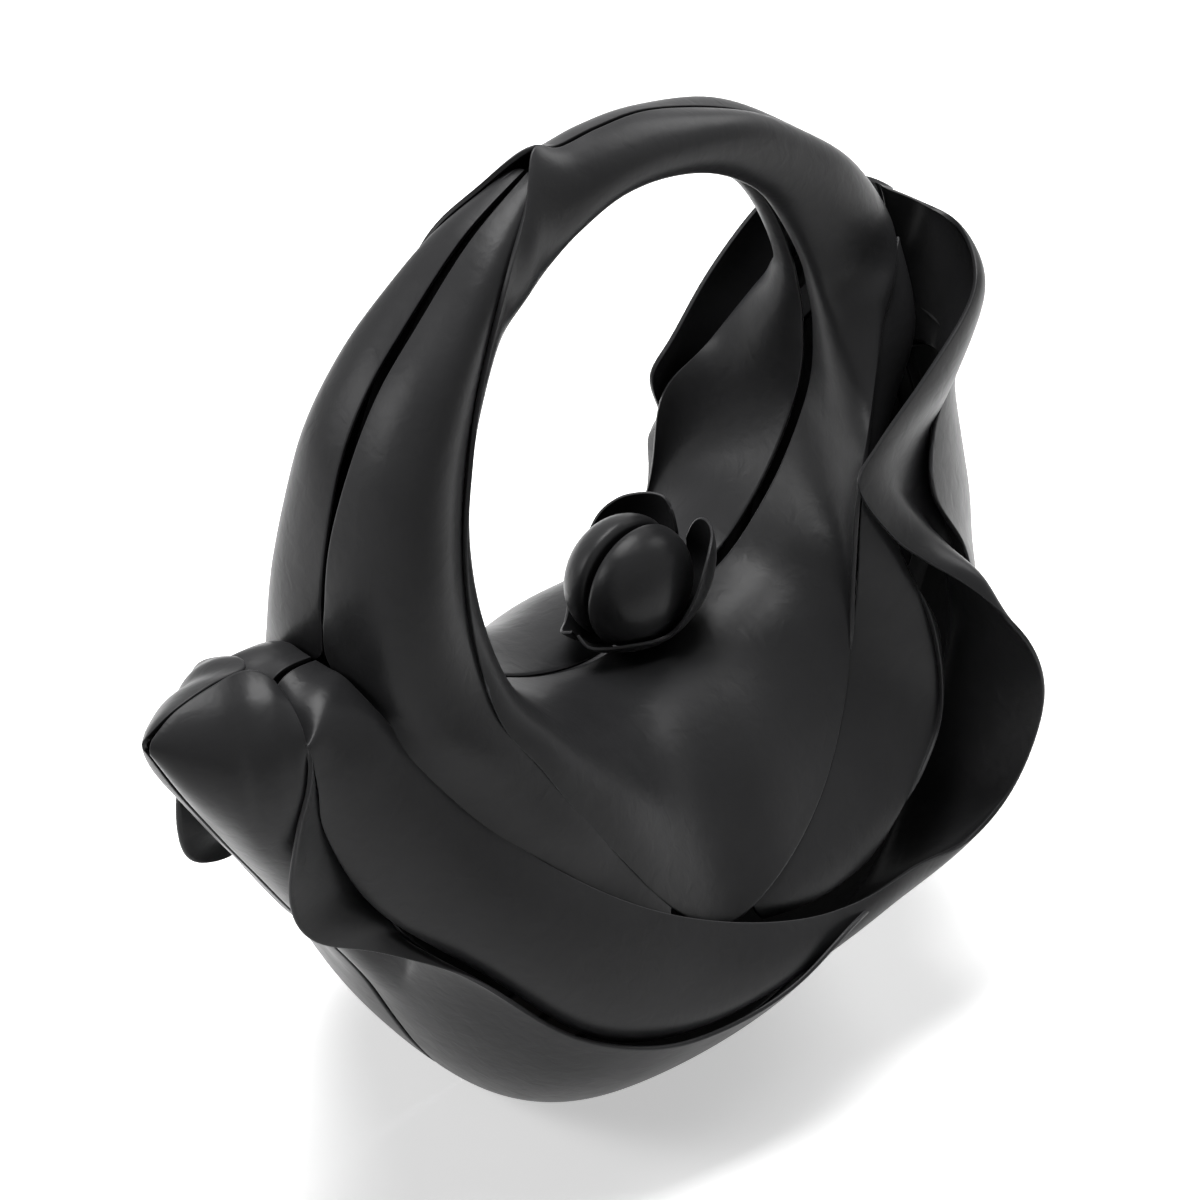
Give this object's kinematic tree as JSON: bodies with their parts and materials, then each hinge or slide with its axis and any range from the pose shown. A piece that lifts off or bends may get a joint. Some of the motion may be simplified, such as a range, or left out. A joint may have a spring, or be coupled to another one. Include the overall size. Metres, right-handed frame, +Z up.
{
  "type": "sculptural handbag",
  "caption": "Sculptural clam-shell handbag of moulded black leather petals with a ring handle and a small bud, two mirror halves hinged along the keel",
  "frame": {"origin": "on the floor under the middle of the bag's length, in the plane of the seam", "axes": "+X from the beak to the tail, +Y across the seam towards the left half, +Z up"},
  "size_m": [0.3471, 0.1912, 0.34],
  "materials": {
    "shell_leather": "satin",
    "lining_leather": "matte",
    "sole_leather": "matte",
    "foam": "matte",
    "board": "matte",
    "magnet": "satin"
  },
  "bodies": {
    "right_half": {"hull_right": "shell_leather", "hull_lining_right": "lining_leather", "band_right": "shell_leather", "back_leaf_right": "shell_leather", "stem_lobe_right": "shell_leather", "handle_sheath_right": "shell_leather", "handle_core_right": "foam", "magnets_right": "magnet", "saddle_board_right": "board", "bud_right": "shell_leather", "bud_core_right": "board", "calyx_right": "shell_leather", "base_board_right": "board", "sole_right": "sole_leather", "keel_strip_right": "sole_leather"},
    "left_half": {"hull_left": "shell_leather", "hull_lining_left": "lining_leather", "band_left": "shell_leather", "back_leaf_left": "shell_leather", "stem_lobe_left": "shell_leather", "handle_sheath_left": "shell_leather", "handle_core_left": "foam", "magnets_left": "magnet", "saddle_board_left": "board", "bud_left": "shell_leather", "bud_core_left": "board", "calyx_left": "shell_leather", "base_board_left": "board", "sole_left": "sole_leather", "keel_strip_left": "sole_leather"}
  },
  "joints": [
    {"name": "keel_hinge", "type": "hinge", "parent": "right_half", "child": "left_half", "pos_m": [0, 0, 0], "axis": [-1, 0, 0], "range_deg": [0, 45]}
  ]
}
